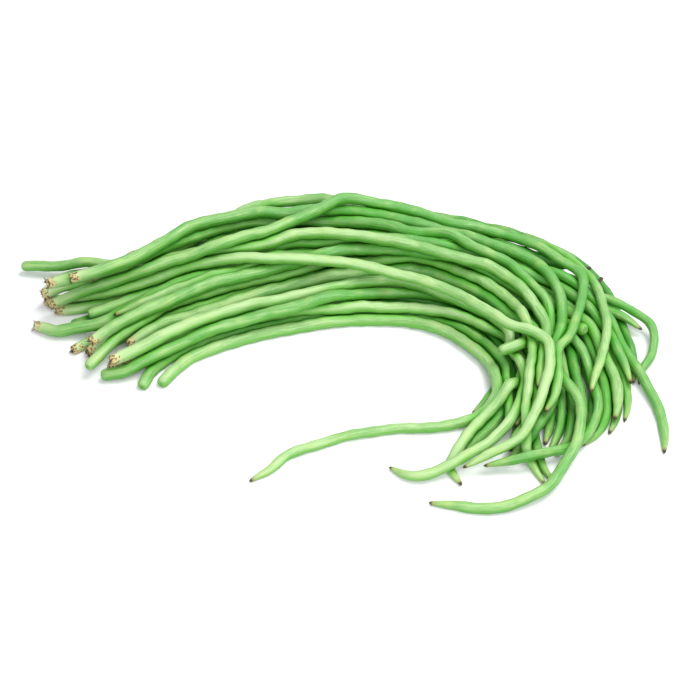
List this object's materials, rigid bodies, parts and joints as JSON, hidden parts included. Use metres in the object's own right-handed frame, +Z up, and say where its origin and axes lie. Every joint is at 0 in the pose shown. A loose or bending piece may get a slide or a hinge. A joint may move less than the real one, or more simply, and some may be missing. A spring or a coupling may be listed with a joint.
{
  "type": "yardlong bean bunch",
  "caption": "Bunch of long thin green bean pods laid down in an arch, with their stalk ends together and their tips trailing.",
  "frame": {"origin": "middle of the bunch's own box, on the table that it lies on", "axes": "+X along the bunch's long side, from the stalk ends towards the bend; +Y to the outside of the arch; +Z up from the table"},
  "size_m": [0.457, 0.3094, 0.0488],
  "materials": {
    "pod_green": "satin fresh pod skin, mid green",
    "pod_pale": "satin fresh pod skin, pale green",
    "pod_deep": "satin fresh pod skin, deep green"
  },
  "bodies": {
    "root": {"pod_01": "pod_deep", "pod_02": "pod_deep", "pod_03": "pod_deep", "pod_04": "pod_deep", "pod_05": "pod_deep", "pod_06": "pod_deep", "pod_07": "pod_deep", "pod_08": "pod_deep", "pod_09": "pod_deep", "pod_10": "pod_deep", "pod_11": "pod_deep", "pod_12": "pod_deep", "pod_13": "pod_deep", "pod_14": "pod_deep", "pod_15": "pod_deep", "pod_16": "pod_deep", "pod_17": "pod_deep", "pod_18": "pod_green", "pod_19": "pod_green", "pod_20": "pod_green", "pod_21": "pod_green", "pod_22": "pod_green", "pod_23": "pod_pale", "pod_24": "pod_green", "pod_25": "pod_green", "pod_26": "pod_pale", "pod_27": "pod_pale", "pod_28": "pod_green", "pod_29": "pod_pale", "pod_30": "pod_green", "pod_31": "pod_pale", "pod_32": "pod_pale", "pod_33": "pod_green", "pod_34": "pod_pale", "pod_35": "pod_pale", "pod_36": "pod_green", "pod_37": "pod_green", "pod_38": "pod_pale", "pod_39": "pod_green", "pod_40": "pod_green", "pod_41": "pod_green", "pod_42": "pod_pale"}
  },
  "joints": []
}
